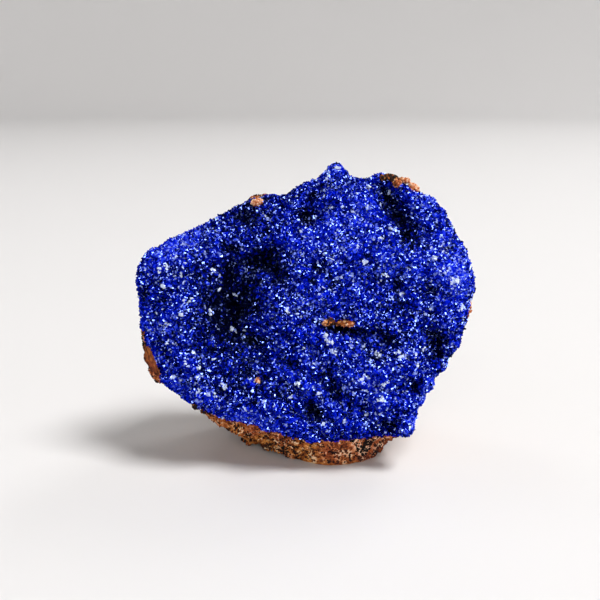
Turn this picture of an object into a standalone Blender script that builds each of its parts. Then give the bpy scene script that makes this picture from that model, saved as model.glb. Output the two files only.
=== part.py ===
"""Azurite specimen: a crust of deep blue azurite crystals on a broken piece of brown limonite rock.

Blender 4.5, metres, +Z up. The rock stands on a flat facet, and the origin is on that facet, near
its middle. The crystal face looks along -Y and leans back. Two solids are made:

  azurite_crust     the sheet of crystals, with flat faces, hollows and ridges
  limonite_matrix   the rock behind it, with its lips, broken facets and the ledge that shows
                    through a slot in the crust

Places on the crystal face are given as (u, v, w) in millimetres: u runs to the right, v runs up
the leaning face, and w runs into the rock. bed() says where the crystals' bed lies at each (u, v).
"""

import math

import bpy
import numpy as np
from mathutils import Vector
from mathutils.geometry import delaunay_2d_cdt

MM = 0.001

# ---------------------------------------------------------------- driving dimensions, millimetres
LEAN = math.radians(15)  # how far the crystal face leans back
FACE_CENTRE = np.array((-1.5, -7.3, 24.3))  # from the origin, on the resting facet

# The crust's outline: (degrees round the face from +X, radius).
OUTLINE = (
    (0, 23.7), (10, 25.1), (20, 24.9), (38, 24.5), (50, 23.4), (60, 22.2),
    (72, 20.3), (77, 20.8), (80, 22.7), (83, 20.2), (91, 18.2), (100, 16.7),
    (118, 17.7), (132, 18.4), (142, 19.5), (151, 21.6), (160, 24.6), (168, 24.9),
    (178, 24.2), (190, 24.0), (200, 22.7), (208, 23.1), (220, 21.9), (232, 20.3),
    (248, 18.4), (262, 18.8), (275, 19.6), (290, 20.2), (301, 21.7), (310, 24.8),
    (316, 22.7), (328, 21.4), (341, 22.3), (350, 23.4),
)  # fmt: skip
# The rock's outline a few millimetres further back. Where it is the wider, the rock shows as a lip.
ROCK_OUTLINE = (
    (0, 25.4), (7, 24.0), (36, 23.6), (43, 25.6), (50, 26.0), (56, 25.4), (62, 21.2),
    (80, 19.4), (95, 16.4), (108, 16.8), (116, 19.2), (123, 17.4), (140, 18.7),
    (155, 21.9), (168, 23.7), (181, 24.0), (188, 25.2), (197, 27.2), (206, 25.8),
    (211, 22.2), (222, 21.3), (230, 21.4), (238, 21.9), (250, 22.2), (266, 23.1),
    (274, 24.2), (280, 24.9), (300, 24.8), (308, 24.8), (314, 22.4), (325, 20.8),
    (340, 21.8), (350, 24.2), (355, 25.7),
)  # fmt: skip
OUTLINE_BLEND = 3.0  # degrees either side over which these outlines' corners are eased
# The rock's plainer outline behind that, which is broad over the foot.
BACK_OUTLINE = (
    (0, 23.0), (45, 23.2), (90, 18.4), (135, 19.2), (165, 23.0), (190, 24.0), (215, 23.4),
    (238, 24.6), (262, 25.6), (300, 25.6), (315, 23.6), (332, 22.0),
)  # fmt: skip
ROLL_BACK = 2.4  # how far the crust curls back at its edge
ROLL_POWER = 5

# Hollows in the bed: (u, v, half length, half width, turn in degrees, depth).
HOLLOWS = (
    (-10.4, -0.4, 5.2, 2.3, -74, 3.4),  # the long hollow left of the middle
    (-7.0, 7.1, 3.5, 1.6, 4, 3.3),  # the pocket over it
    (-4.2, 4.6, 2.6, 1.3, -55, 1.4),
    (-9.6, 4.2, 2.4, 2.2, 60, 1.5),
    (-7.2, -5.6, 2.6, 1.8, 115, 1.5),
    (13.0, 14.8, 4.2, 1.5, -50, 2.7),  # the valley below the upper right edge
    (14.2, 10.6, 2.2, 1.7, -80, 1.2),
    (0.2, 12.5, 1.9, 1.3, -20, 1.9),  # the notch below the peak
    (1.8, 16.4, 2.6, 1.0, 65, 0.8),
    (1.3, 5.4, 2.4, 1.1, 75, 0.9),
    (13.0, 3.6, 2.6, 1.6, 80, 1.1),
    (6.2, -3.3, 2.9, 0.9, -8, 2.2),  # the slot below the ledge
    (10.9, -4.0, 2.2, 0.9, -30, 1.1),
    (18.9, -4.6, 2.7, 1.6, 95, 1.3),
    (16.2, -11.4, 2.0, 1.4, 75, 1.1),
    (4.2, -11.4, 2.0, 1.7, 40, 1.0),
    (1.9, -15.0, 2.4, 1.1, -55, 1.0),
    (9.6, -14.6, 2.2, 1.2, -15, 1.0),
    (-8.0, 13.6, 2.8, 1.8, 15, 1.0),
    (-21.6, -3.4, 3.4, 1.1, 105, 0.8),
)
# Swellings that stand out of it, given the same way.
SWELLINGS = (
    (-3.2, 0.4, 4.6, 1.9, 95, 1.1),  # the ridge right of the long hollow
    (1.0, 2.4, 5.0, 2.6, 60, 0.6),
    (11.0, 8.0, 8.5, 2.8, -12, 1.1),
    (20.0, 5.0, 4.6, 3.2, 80, 0.9),
    (2.6, -4.6, 2.8, 1.7, 85, 0.9),
    (11.6, -8.8, 4.4, 3.2, 20, 1.0),
    (-15.6, -9.6, 5.0, 3.4, -40, 1.0),
    (-18.4, 6.6, 4.6, 2.4, 25, 0.8),
    (7.4, 15.6, 3.0, 2.0, 10, 0.7),
    (-14.6, 0.4, 4.0, 2.6, 90, 0.6),
)

KNOBS = 0.28  # height of the smaller lumps all over the bed
KNOB_WAVES = (3.4, 8.0)  # shortest and longest distance from one to the next

CRUST_THICKNESS = 1.6
GAP = 0.3  # between the crust's back and the rock
RIM_POINTS = 120
RIM_TOOTH = 0.22  # how far every other point of the edge is drawn in, and the others put out
RIM_MARGIN = 0.55  # share of the spacing that a sheet's inner points keep from its rim
CRYSTAL_PITCH = 1.52  # from one crystal tip to the next
CRYSTAL_HEIGHT = (0.25, 1.15)
CRYSTAL_SLANT = 0.35  # how far a tip leans sideways
CRYSTAL_JITTER = 0.24  # how far the crystals stray from even rows
BACKING_PITCH = 2.3  # spacing of the points on the hidden faces

LIP_DEPTH = 0.19  # share of the rock's depth at which it reaches ROCK_OUTLINE
ROCK_DEPTH = 26.0
ROCK_SHOULDER = 4.2  # the dome's power: higher is squarer
ROCK_SPREAD = 30.0  # radius of the disc that the rock's side and back are laid out on
ROCK_PITCH = 1.4  # spacing of the points on it
PROFILE_POINTS = 100  # along each profile that is measured to space them evenly
ROCK_CORE = np.array((0.0, 0.5, 19.0))  # a point well inside, from the origin
FOOT = ((0.00, 0.00, -1.00), 0.0)  # the flat facet that the rock rests on
# The broken facets: (outward direction, distance from the origin).
FACETS = (
    ((0.10, 0.97, 0.20), 11.6),
    ((-0.42, 0.90, -0.05), 13.2),
    ((0.50, 0.84, -0.18), 13.4),
    ((-0.10, 0.78, 0.62), 28.5),
    ((0.34, 0.62, 0.70), 39.5),
    ((-0.72, 0.60, 0.34), 24.5),
    ((0.80, 0.55, 0.22), 25.0),
    ((-0.56, 0.32, -0.76), 7.4),
    ((0.62, 0.22, -0.75), 8.4),
    ((0.05, 0.80, -0.60), 8.8),
)
FACET_SHARPNESS = 45  # higher leaves sharper edges between the broken facets
SCALLOPS = 1.7  # depth of the hollows left where flakes broke away, between sharp ridges
SCALLOP_WAVES = (8.0, 18.0)
SCALLOP_STEPS = 0.45  # share of that depth from one ledge to the next
LUMPS = 0.5  # height of the rock's lumps
LUMP_WAVES = (3.4, 7.0)
PITS = 40  # small cavities scattered over the sides and the back
PIT_RADIUS = (0.9, 2.0)
PIT_DEPTH = 0.7  # share of a pit's radius
FOOT_MARGIN = 1.4  # height over which the roughness fades out above the flat foot

# The ledge of bare rock that shows through the crust.
LEDGE_PLACE = (4.7, -2.1)
LEDGE_SIZE = (5.0, 1.4)  # along and across
LEDGE_TURN = math.radians(-4)
LEDGE_PROUD = 1.1  # how far it stands out of the bed
LEDGE_ROOT = 5.0  # how deep in the rock it starts
LEDGE_CORNERS = 14
LEDGE_UNEVEN = (0.82, 1.12)  # how far in or out its corners stray


# ---------------------------------------------------------------- the face and its relief
def to_world(u, v, w):
    """World points in millimetres, from places on the leaning face."""
    right = np.array((1, 0, 0))
    up = np.array((0, math.sin(LEAN), math.cos(LEAN)))
    inward = np.array((0, math.cos(LEAN), -math.sin(LEAN)))
    along = [np.asarray(x, float)[..., None] * axis for x, axis in zip((u, v, w), (right, up, inward))]
    return FACE_CENTRE + sum(along)


def outline(angle, listed=OUTLINE):
    """The radius at these angles, in radians. A running mean eases the outline's corners."""
    near = np.linspace(-OUTLINE_BLEND, OUTLINE_BLEND, 9)
    degrees = np.degrees(angle)[..., None] + near
    return np.interp(degrees, *np.transpose(listed), period=360).mean(-1)


def dents(u, v, places):
    """The sum of oval Gaussian dents at these places."""
    total = np.zeros_like(u)
    for at_u, at_v, half_length, half_width, turn, depth in places:
        c, s = math.cos(math.radians(turn)), math.sin(math.radians(turn))
        along = ((u - at_u) * c + (v - at_v) * s) / half_length
        across = ((v - at_v) * c - (u - at_u) * s) / half_width
        total += depth * np.exp(-(along**2) - across**2)
    return total


def bed(u, v):
    """Depth w of the crystals' bed: hollows, swellings, knobs, and the edge curling back."""
    share = np.hypot(u, v) / outline(np.arctan2(v, u))
    knobs = KNOBS * lumpiness(np.stack([u, v, np.zeros_like(u)], -1), 7, KNOB_WAVES)
    return dents(u, v, HOLLOWS) - dents(u, v, SWELLINGS) - knobs + ROLL_BACK * share**ROLL_POWER


def lumpiness(points, seed, waves):
    """A lumpy pattern from about -1 to 1: the mean of plane waves in seeded directions."""
    rng = np.random.default_rng(seed)
    count = 24
    direction = rng.normal(size=(count, 3))
    direction /= np.linalg.norm(direction, axis=1, keepdims=True)
    length = rng.uniform(*waves, size=count)
    phase = rng.uniform(0, 2 * math.pi, size=count)
    return np.sin(points @ (direction * 2 * math.pi / length[:, None]).T + phase).sum(-1) / math.sqrt(count)


# ---------------------------------------------------------------- sheets of triangles
def rim_angles():
    return np.arange(RIM_POINTS) * 2 * math.pi / RIM_POINTS


def hexagonal_points(pitch, jitter):
    """Points about a pitch apart in rows, and each one's colour, 0, 1 or 2. Neighbours differ."""
    rng = np.random.default_rng(2)
    reach = int(1.6 * ROCK_SPREAD / pitch)
    rows, columns = np.mgrid[-reach : reach + 1, -reach : reach + 1]
    u = pitch * (columns + rows / 2)
    v = pitch * rows * math.sqrt(3) / 2
    stray = rng.uniform(-jitter, jitter, size=(2, *u.shape))
    return (u + stray[0]).ravel(), (v + stray[1]).ravel(), ((columns - rows) % 3).ravel()


def sheet(rim, pitch, jitter=0.0):
    """Triangles over the area inside rim, with inner points a pitch apart. The rim's points come
    first. Returns (points, triangles, each point's colour in the hexagonal rows, or -1 on the rim)."""
    u, v, colour = hexagonal_points(pitch, jitter)
    rim_angle = np.arctan2(rim[:, 1], rim[:, 0])
    radius = np.interp(np.arctan2(v, u), rim_angle, np.hypot(*rim.T), period=2 * math.pi)
    inside = np.hypot(u, v) < radius - RIM_MARGIN * pitch
    points = np.concatenate([rim, np.stack([u[inside], v[inside]], 1)])
    colour = np.concatenate([np.full(len(rim), -1), colour[inside]])
    edges = [(i, (i + 1) % len(rim)) for i in range(len(rim))]
    made = delaunay_2d_cdt([Vector(p) for p in points], edges, [], 1, 1e-6)
    triangles = np.array([[made[3][corner][0] for corner in face] for face in made[2]])
    return points, triangles, colour


def solid(name, points, triangles, material):
    """An object from points in millimetres and triangles, each sharp-edged."""
    mesh = bpy.data.meshes.new(name)
    mesh.from_pydata((points * MM).tolist(), [], triangles.tolist())
    mesh.materials.append(material)
    made = bpy.data.objects.new(name, mesh)
    bpy.context.scene.collection.objects.link(made)
    return made


# ---------------------------------------------------------------- the crust
def crust_rim():
    """(u, v) of the crust's toothed edge."""
    angle = rim_angles()
    radius = outline(angle) + RIM_TOOTH * (-1.0) ** np.arange(RIM_POINTS)
    return np.stack([radius * np.cos(angle), radius * np.sin(angle)], 1)


def crust_front():
    """The crystals: on hexagonal rows, every third point is a tip, and six flat faces meet there."""
    rng = np.random.default_rng(11)
    points, triangles, colour = sheet(crust_rim(), CRYSTAL_PITCH / math.sqrt(3), CRYSTAL_JITTER)
    tip = colour == 0
    depth = bed(*points.T)
    depth[tip] -= rng.uniform(*CRYSTAL_HEIGHT, size=tip.sum())
    points[tip] += rng.uniform(-CRYSTAL_SLANT, CRYSTAL_SLANT, size=(tip.sum(), 2))
    depth[:RIM_POINTS] += CRUST_THICKNESS / 2
    return to_world(*points.T, depth), triangles


def hidden_sheet(offset):
    """The crust's back, or with an offset the rock's front behind it. Both use the same triangles,
    so the gap between them is the same all over."""
    points, triangles, _ = sheet(crust_rim(), BACKING_PITCH)
    depth = bed(*points.T) + CRUST_THICKNESS + offset
    depth[:RIM_POINTS] -= CRUST_THICKNESS / 2
    return to_world(*points.T, depth), triangles


def stitched(first, second, rim_count):
    """Two sheets that share their rim, as one closed surface. The second sheet is turned round."""
    (points_a, faces_a), (points_b, faces_b) = first, second
    number = np.arange(len(points_b)) + len(points_a) - rim_count
    number[:rim_count] = np.arange(rim_count)
    points = np.concatenate([points_a, points_b[rim_count:]])
    return points, np.concatenate([faces_a, number[faces_b[:, ::-1]]])


def azurite_crust(material):
    points, triangles = stitched(crust_front(), hidden_sheet(0), RIM_POINTS)
    return solid("azurite_crust", points, triangles, material)


# ---------------------------------------------------------------- the rock
def dome(share):
    """Depth of the plain dome behind the face, as a share of the rock's depth."""
    return (1 - share**ROCK_SHOULDER) ** 0.45


def dome_points(angle, share, depth):
    """Points of the plain dome behind the face. Its edge passes from the crust's to the rock's,
    and then to a plainer one."""
    toward_rock = np.sin(np.clip(depth / LIP_DEPTH, 0, 1) * math.pi / 2)
    toward_back = np.clip((depth - LIP_DEPTH) / (1 - LIP_DEPTH), 0, 1) ** 0.6
    crust_edge = outline(angle)
    edge = crust_edge + (outline(angle, ROCK_OUTLINE) - crust_edge) * toward_rock
    edge += (outline(angle, BACK_OUTLINE) - edge) * toward_back
    radius = share * edge
    edge_depth = bed(crust_edge * np.cos(angle), crust_edge * np.sin(angle))
    start = edge_depth + (ROLL_BACK - edge_depth) * toward_rock + CRUST_THICKNESS / 2 + GAP
    return to_world(radius * np.cos(angle), radius * np.sin(angle), start + depth * ROCK_DEPTH)


def room_to(facets, ray):
    """How far it is from the core to each of these planes along the rays."""
    normals = np.array([direction for direction, _ in facets])
    normals /= np.linalg.norm(normals, axis=1, keepdims=True)
    room = np.array([distance for _, distance in facets]) - normals @ ROCK_CORE
    return room / np.maximum(ray @ normals.T, 1e-3)


def faceted(points):
    """These points brought in along their rays to the broken facets. Returns (rays, reach)."""
    ray = points - ROCK_CORE
    reach = np.linalg.norm(ray, axis=-1, keepdims=True)
    ray = ray / reach
    each = np.concatenate([reach, room_to(FACETS, ray)], -1)
    return ray, (each**-FACET_SHARPNESS).sum(-1, keepdims=True) ** (-1 / FACET_SHARPNESS)


def pits(points):
    """How far the scattered cavities sink the rock at these points."""
    rng = np.random.default_rng(9)
    angle = rng.uniform(0, 2 * math.pi, size=PITS)
    share = np.sqrt(rng.uniform(size=PITS))
    ray, reach = faceted(dome_points(angle, share, dome(share)))
    radius = rng.uniform(*PIT_RADIUS, size=PITS)
    apart = np.linalg.norm(points[..., None, :] - ROCK_CORE - ray * reach, axis=-1) / radius
    return (PIT_DEPTH * radius * np.exp(-(apart**4))).sum(-1)


def stepped(height, step):
    """A height turned to ledges: flat treads a step apart, with steep risers between them."""
    return height - step * np.sin(2 * math.pi * height / step) / (2 * math.pi)


def roughness(points):
    """How far the rock's broken surface stands above its facets: ridged scallops, lumps, pits."""
    scallops = 0.4 - stepped(np.abs(lumpiness(points, 5, SCALLOP_WAVES)), SCALLOP_STEPS)
    lumps = lumpiness(points, 6, LUMP_WAVES)
    above_foot = np.clip(points[..., 2] / FOOT_MARGIN, 0, 1)
    return (SCALLOPS * scallops + LUMPS * lumps - pits(points)) * above_foot


def share_at(angle, part):
    """The dome's share at which this part of the way from the edge to the middle of the back has
    been covered, measured along the faceted surface."""
    share = 1 - np.linspace(0, 1, PROFILE_POINTS) ** 3
    ray, reach = faceted(dome_points(angle[:, None], share, dome(share)))
    step = np.linalg.norm(np.diff(ray * reach, axis=1), axis=-1)
    covered = np.cumsum(step, axis=1)
    covered = np.concatenate([np.zeros((len(angle), 1)), covered], 1) / covered[:, -1:]
    return np.array([np.interp(p, row, share) for p, row in zip(part, covered)])


def rock_outside():
    """The side and the back, laid out evenly on a disc whose rim is the front's edge."""
    angle = rim_angles()
    rim = ROCK_SPREAD * np.stack([np.cos(angle), np.sin(angle)], 1)
    points, triangles, _ = sheet(rim, ROCK_PITCH)
    angle = np.arctan2(points[:, 1], points[:, 0])
    share = share_at(angle, 1 - np.hypot(*points.T) / ROCK_SPREAD)
    depth = dome(share)
    ray, reach = faceted(dome_points(angle, share, depth))
    fade = np.clip(depth / LIP_DEPTH, 0, 1)[:, None]
    reach = reach + roughness(ROCK_CORE + ray * reach)[:, None] * fade
    return ROCK_CORE + ray * np.minimum(reach, room_to([FOOT], ray)), triangles


def limonite_matrix(material):
    points, triangles = stitched(hidden_sheet(GAP), rock_outside(), RIM_POINTS)
    return solid("limonite_matrix", points, triangles, material)


# ---------------------------------------------------------------- the ledge
def ledge_bar(name, grown, deep, material):
    """A toothed bar along the ledge, from deep in the rock to just proud of the bed."""
    rng = np.random.default_rng(3)
    count = LEDGE_CORNERS
    angle = np.arange(count) * 2 * math.pi / count
    length, width = (size / 2 + grown for size in LEDGE_SIZE)
    uneven = rng.uniform(*LEDGE_UNEVEN, size=count)
    along = length * np.sign(np.cos(angle)) * np.abs(np.cos(angle)) ** 0.6 * uneven
    across = width * np.sin(angle) * uneven
    c, s = math.cos(LEDGE_TURN), math.sin(LEDGE_TURN)
    u = LEDGE_PLACE[0] + along * c - across * s
    v = LEDGE_PLACE[1] + along * s + across * c
    top = bed(u, v) - LEDGE_PROUD * rng.uniform(0.5, 1.0, size=count) - grown
    middle = bed(*(np.full(1, x) for x in LEDGE_PLACE)) - LEDGE_PROUD - grown
    rings = [to_world(u, v, np.full(count, deep)), to_world(u, v, top)]
    ends = [to_world(*LEDGE_PLACE, deep), to_world(*LEDGE_PLACE, middle[0])]
    points = np.concatenate([*rings, ends])
    i, j = np.arange(count), (np.arange(count) + 1) % count
    root, crown = np.full(count, 2 * count), np.full(count, 2 * count + 1)
    faces = [(i, j, j + count), (i, j + count, i + count), (j, i, root), (i + count, j + count, crown)]
    triangles = np.concatenate([np.stack(face, 1) for face in faces])
    return solid(name, points, triangles, material)


def boolean(target, operation, other):
    """Joins other to target, or cuts it away, and leaves other out of the model."""
    modifier = target.modifiers.new(operation.lower(), "BOOLEAN")
    modifier.operation = operation
    modifier.object = other
    other.hide_render = True
    other.display_type = "WIRE"


# ---------------------------------------------------------------- materials and the model
def mineral(name, colour, roughness):
    """A Principled material, from a linear colour."""
    material = bpy.data.materials.new(name)
    material.use_nodes = True
    shader = material.node_tree.nodes["Principled BSDF"]
    shader.inputs["Base Color"].default_value = (*colour, 1)
    shader.inputs["Roughness"].default_value = roughness
    shader.inputs["Metallic"].default_value = 0
    material.diffuse_color = (*colour, 1)
    return material


def main():
    for old in list(bpy.data.objects):
        bpy.data.objects.remove(old)
    azurite = mineral("azurite", (0.012, 0.035, 0.52), 0.25)
    limonite = mineral("limonite", (0.36, 0.16, 0.07), 0.9)
    crust = azurite_crust(azurite)
    rock = limonite_matrix(limonite)
    boolean(rock, "UNION", ledge_bar("ledge", 0, LEDGE_ROOT, limonite))
    boolean(crust, "DIFFERENCE", ledge_bar("ledge_slot", GAP, LEDGE_ROOT, azurite))


main()
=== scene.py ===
# %% [markdown]
# # A hand specimen of azurite
#
# Azurite is a copper carbonate. Here it has grown as a druse, which is a crust of very small
# crystals, on a broken piece of limonite, an earthy brown iron rock. The model has three parts:
# the lumpy skin that the crystals grow from, tens of thousands of crystals on it, and the rock.
# Every shape is worked out with numpy in millimetres and only then turned into metres.

import math

import bpy
import numpy as np
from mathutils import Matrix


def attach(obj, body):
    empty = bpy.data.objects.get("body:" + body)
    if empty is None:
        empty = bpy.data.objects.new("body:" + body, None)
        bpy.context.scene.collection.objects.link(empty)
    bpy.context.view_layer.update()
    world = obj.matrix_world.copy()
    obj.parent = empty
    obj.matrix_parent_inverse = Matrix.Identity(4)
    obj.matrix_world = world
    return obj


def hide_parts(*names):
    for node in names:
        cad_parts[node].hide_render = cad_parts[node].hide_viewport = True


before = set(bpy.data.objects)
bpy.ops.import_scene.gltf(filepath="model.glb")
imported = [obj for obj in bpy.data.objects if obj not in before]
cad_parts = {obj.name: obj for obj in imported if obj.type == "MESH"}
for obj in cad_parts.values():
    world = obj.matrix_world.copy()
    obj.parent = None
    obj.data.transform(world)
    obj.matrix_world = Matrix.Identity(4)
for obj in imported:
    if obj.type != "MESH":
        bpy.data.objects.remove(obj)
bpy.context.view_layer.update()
print("solids in the frame:", sorted(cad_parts))

# %% [markdown]
# ## Places on the crystal face
#
# The face leans back by 15 degrees, so it is easier to think in its own directions: u to the
# right, v up the face and w into the rock.

# %% Millimetres and the leaning face
MM = 0.001
LEAN = math.radians(15)
FACE_CENTRE = np.array((-1.5, -7.3, 24.3))
RIGHT = np.array((1.0, 0.0, 0.0))
UP_FACE = np.array((0.0, math.sin(LEAN), math.cos(LEAN)))
INWARD = np.array((0.0, math.cos(LEAN), -math.sin(LEAN)))


def to_world(u, v, w):
    """The face's centre plus u, v and w times the face's three directions, in millimetres."""
    axes = (RIGHT, UP_FACE, INWARD)
    return FACE_CENTRE + sum(np.asarray(x, float)[..., None] * axis for x, axis in zip((u, v, w), axes))


def to_face(points):
    """The same way back: the distance from the face's centre along each of its directions."""
    return np.moveaxis((points - FACE_CENTRE) @ np.stack([RIGHT, UP_FACE, INWARD], 1), -1, 0)


def unit(vectors):
    """The same directions with length 1."""
    return vectors / np.linalg.norm(vectors, axis=-1, keepdims=True)


def polar(radius, angle):
    """The radius times the angle's cosine, and times its sine."""
    return radius * np.cos(angle), radius * np.sin(angle)


# %% [markdown]
# ## The camera
#
# It stands 118 mm in front of the face and looks straight at it, so it looks down by the same
# 15 degrees. A 50 mm lens on a 36 mm sensor then shows about 85 mm across.

# %% The camera, which comes first
CAMERA_DISTANCE = 118.0
AIM = (-0.85, 1.14)  # the place on the face at the middle of the picture
# Its own axes are the face's: x is RIGHT, y is UP_FACE, and it looks along INWARD.
camera = bpy.data.objects.new("camera", bpy.data.cameras.new("camera"))
camera.data.lens = 50
camera.data.sensor_width = 36
camera.data.clip_start = 0.005
bpy.context.scene.collection.objects.link(camera)
camera.location = to_world(*AIM, -CAMERA_DISTANCE) * MM
camera.rotation_euler = (math.pi / 2 - LEAN, 0, 0)
bpy.context.scene.camera = camera
print("camera at", [round(x, 4) for x in camera.location])

# %% [markdown]
# ## The outline and the relief
#
# An outline is a radius for each direction, and the bed is a height map of hollows and swellings.
# Both are as in the solids, but for the outlines, which are a millimetre or two off here and there.

# %% The outline of the crust and of the rock
OUTLINE = (
    (0, 23.7), (10, 24.9), (20, 24.3), (38, 24.3), (47, 23.4), (52, 22.6), (57, 22.6), (60, 22.5),
    (64, 20.8), (69, 20.0), (74.5, 20.3), (78.3, 22.2), (81, 19.9), (86, 18.4), (91, 18.1), (100, 16.5),
    (118, 17.7), (132, 18.1), (142, 19.3), (151, 21.2), (157, 22.8), (161, 24.4), (168, 25.1),
    (178, 24.1), (190, 23.6), (200, 22.7), (208, 23.1), (222, 21.3), (232, 20.0), (240, 18.8),
    (248, 18.5), (254, 17.9), (262, 18.8), (275, 19.1), (290, 20.2), (301, 21.6), (310, 24.2),
    (316, 22.2), (328, 21.2), (336, 21.4), (342, 22.2), (349, 22.9), (353, 23.3), (358, 23.3),
)
ROCK_OUTLINE = (
    (0, 24.7), (7, 24.0), (36, 23.6), (43, 24.4), (50, 24.9), (56, 24.5), (62, 21.2), (80, 19.4),
    (95, 16.4), (108, 16.8), (116, 19.2), (123, 17.4), (140, 18.7), (155, 21.9), (168, 23.7), (181, 24.3),
    (188, 25.9), (197, 27.9), (206, 25.9), (211, 22.2), (222, 21.5), (230, 21.3), (238, 21.8),
    (250, 21.8), (258, 21.9), (266, 22.7), (274, 24.5), (280, 25.4), (288, 25.2), (295, 24.8),
    (301, 23.8), (306, 22.7), (314, 22.0), (325, 20.8), (340, 21.8), (349, 23.8), (353, 24.8),
    (357, 25.1),
)
BACK_OUTLINE = (
    (0, 23.0), (45, 23.2), (90, 18.4), (135, 19.2), (165, 23.0), (190, 24.0), (215, 22.6), (238, 22.8),
    (262, 24.6), (300, 25.6), (315, 23.6), (332, 22.0),
)
OUTLINE_BLEND = 2.0  # degrees over which the corners are eased, either side


def outline(angle, listed=OUTLINE):
    """The radius at these angles: straight lines between the listed ones, then a running mean."""
    near = np.linspace(-OUTLINE_BLEND, OUTLINE_BLEND, 9)
    degrees = np.degrees(angle)[..., None] + near
    return np.interp(degrees, *np.transpose(listed), period=360).mean(-1)


# %% The hollows and swellings of the bed
# Each is (u, v, half length, half width, turn in degrees, depth), in millimetres.
HOLLOWS = (
    (-10.4, -0.4, 5.2, 2.3, -74, 3.4), (-7.0, 7.1, 3.5, 1.6, 4, 3.3), (-4.2, 4.6, 2.6, 1.3, -55, 1.4),
    (-9.6, 4.2, 2.4, 2.2, 60, 1.5), (-7.2, -5.6, 2.6, 1.8, 115, 1.5), (13.0, 14.8, 4.2, 1.5, -50, 2.7),
    (14.2, 10.6, 2.2, 1.7, -80, 1.2), (0.2, 12.5, 1.9, 1.3, -20, 1.9), (1.8, 16.4, 2.6, 1.0, 65, 0.8),
    (1.3, 5.4, 2.4, 1.1, 75, 0.9), (13.0, 3.6, 2.6, 1.6, 80, 1.1), (6.2, -3.3, 2.9, 0.9, -8, 2.2),
    (10.9, -4.0, 2.2, 0.9, -30, 1.1), (18.9, -4.6, 2.7, 1.6, 95, 1.3), (16.2, -11.4, 2.0, 1.4, 75, 1.1),
    (4.2, -11.4, 2.0, 1.7, 40, 1.0), (1.9, -15.0, 2.4, 1.1, -55, 1.0), (9.6, -14.6, 2.2, 1.2, -15, 1.0),
    (-8.0, 13.6, 2.8, 1.8, 15, 1.0), (-21.6, -3.4, 3.4, 1.1, 105, 0.8),
)
SWELLINGS = (
    (-3.2, 0.4, 4.6, 1.9, 95, 1.1), (1.0, 2.4, 5.0, 2.6, 60, 0.6), (11.0, 8.0, 8.5, 2.8, -12, 1.1),
    (20.0, 5.0, 4.6, 3.2, 80, 0.9), (2.6, -4.6, 2.8, 1.7, 85, 0.9), (11.6, -8.8, 4.4, 3.2, 20, 1.0),
    (-15.6, -9.6, 5.0, 3.4, -40, 1.0), (-18.4, 6.6, 4.6, 2.4, 25, 0.8), (7.4, 15.6, 3.0, 2.0, 10, 0.7),
    (-14.6, 0.4, 4.0, 2.6, 90, 0.6),
)
ROLL_BACK, ROLL_POWER = 2.4, 5  # how the crust curls back towards its edge
KNOBS, KNOB_WAVES = 0.28, (3.4, 8.0)


def lumpiness(points, seed, waves):
    """A lumpy pattern, mostly from -1.5 to 1.5: the sum of 24 plane waves of random directions and
    of lengths between the two in waves, over the root of 24."""
    rng = np.random.default_rng(seed)
    count = 24
    direction = unit(rng.normal(size=(count, 3)))
    length = rng.uniform(*waves, size=count)
    phase = rng.uniform(0, 2 * math.pi, size=count)
    waves = direction * 2 * math.pi / length[:, None]
    return np.sin(points @ waves.T + phase).sum(-1) / math.sqrt(count)


def oval_place(u, v, at_u, at_v, half_length, half_width, turn):
    """Where (u, v) lies in a turned oval: 1 along it is its end, and 1 across it is its side."""
    c, s = math.cos(math.radians(turn)), math.sin(math.radians(turn))
    return ((u - at_u) * c + (v - at_v) * s) / half_length, ((v - at_v) * c - (u - at_u) * s) / half_width


def dents(u, v, places):
    """The sum of oval Gaussians: depth times exp of minus the squared distance along and across."""
    total = np.zeros_like(u)
    for *oval, depth in places:
        along, across = oval_place(u, v, *oval)
        total += depth * np.exp(-(along**2) - across**2)
    return total


def bed(u, v):
    """Depth w of the crystals' bed: hollows less swellings and knobs, plus the edge curling back."""
    share = np.hypot(u, v) / outline(np.arctan2(v, u))
    knobs = KNOBS * lumpiness(np.stack([u, v, np.zeros_like(u)], -1), 7, KNOB_WAVES)
    return dents(u, v, HOLLOWS) - dents(u, v, SWELLINGS) - knobs + ROLL_BACK * share**ROLL_POWER


middle = bed(np.zeros(1), np.zeros(1))[0]
print(f"the bed lies {middle:.2f} mm behind the face's plane at its centre")

# %% [markdown]
# ## From grids of points to meshes
#
# A piece is a grid of points, rows by columns. Rows that run right round are joined to their own
# start, and a row at a pole has all its points in one place, so it is closed with a fan.


# %% A helper that turns arrays into an object
def mesh_object(name, points, triangles, material, smooth=True, uv=None, tone=None):
    """An object from points in millimetres, triangles of point numbers, and for every point a
    texture place and a tone, which the material reads as an attribute."""
    mesh = bpy.data.meshes.new(name)
    mesh.vertices.add(len(points))
    mesh.vertices.foreach_set("co", (points * MM).astype(np.float32).ravel())
    mesh.loops.add(triangles.size)
    mesh.loops.foreach_set("vertex_index", triangles.astype(np.int32).ravel())
    mesh.polygons.add(len(triangles))
    mesh.polygons.foreach_set("loop_start", np.arange(0, triangles.size, 3, dtype=np.int32))
    mesh.polygons.foreach_set("use_smooth", np.full(len(triangles), smooth))
    mesh.update(calc_edges=True)
    if uv is not None:
        corner_uv = uv[triangles.ravel()].astype(np.float32)
        mesh.uv_layers.new(name="OFBake").data.foreach_set("uv", corner_uv.ravel())
    if tone is not None:
        mesh.attributes.new("tone", "FLOAT", "POINT").data.foreach_set("value", tone.astype(np.float32))
    mesh.materials.append(material)
    made = bpy.data.objects.new(name, mesh)
    bpy.context.scene.collection.objects.link(made)
    return made


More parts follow.
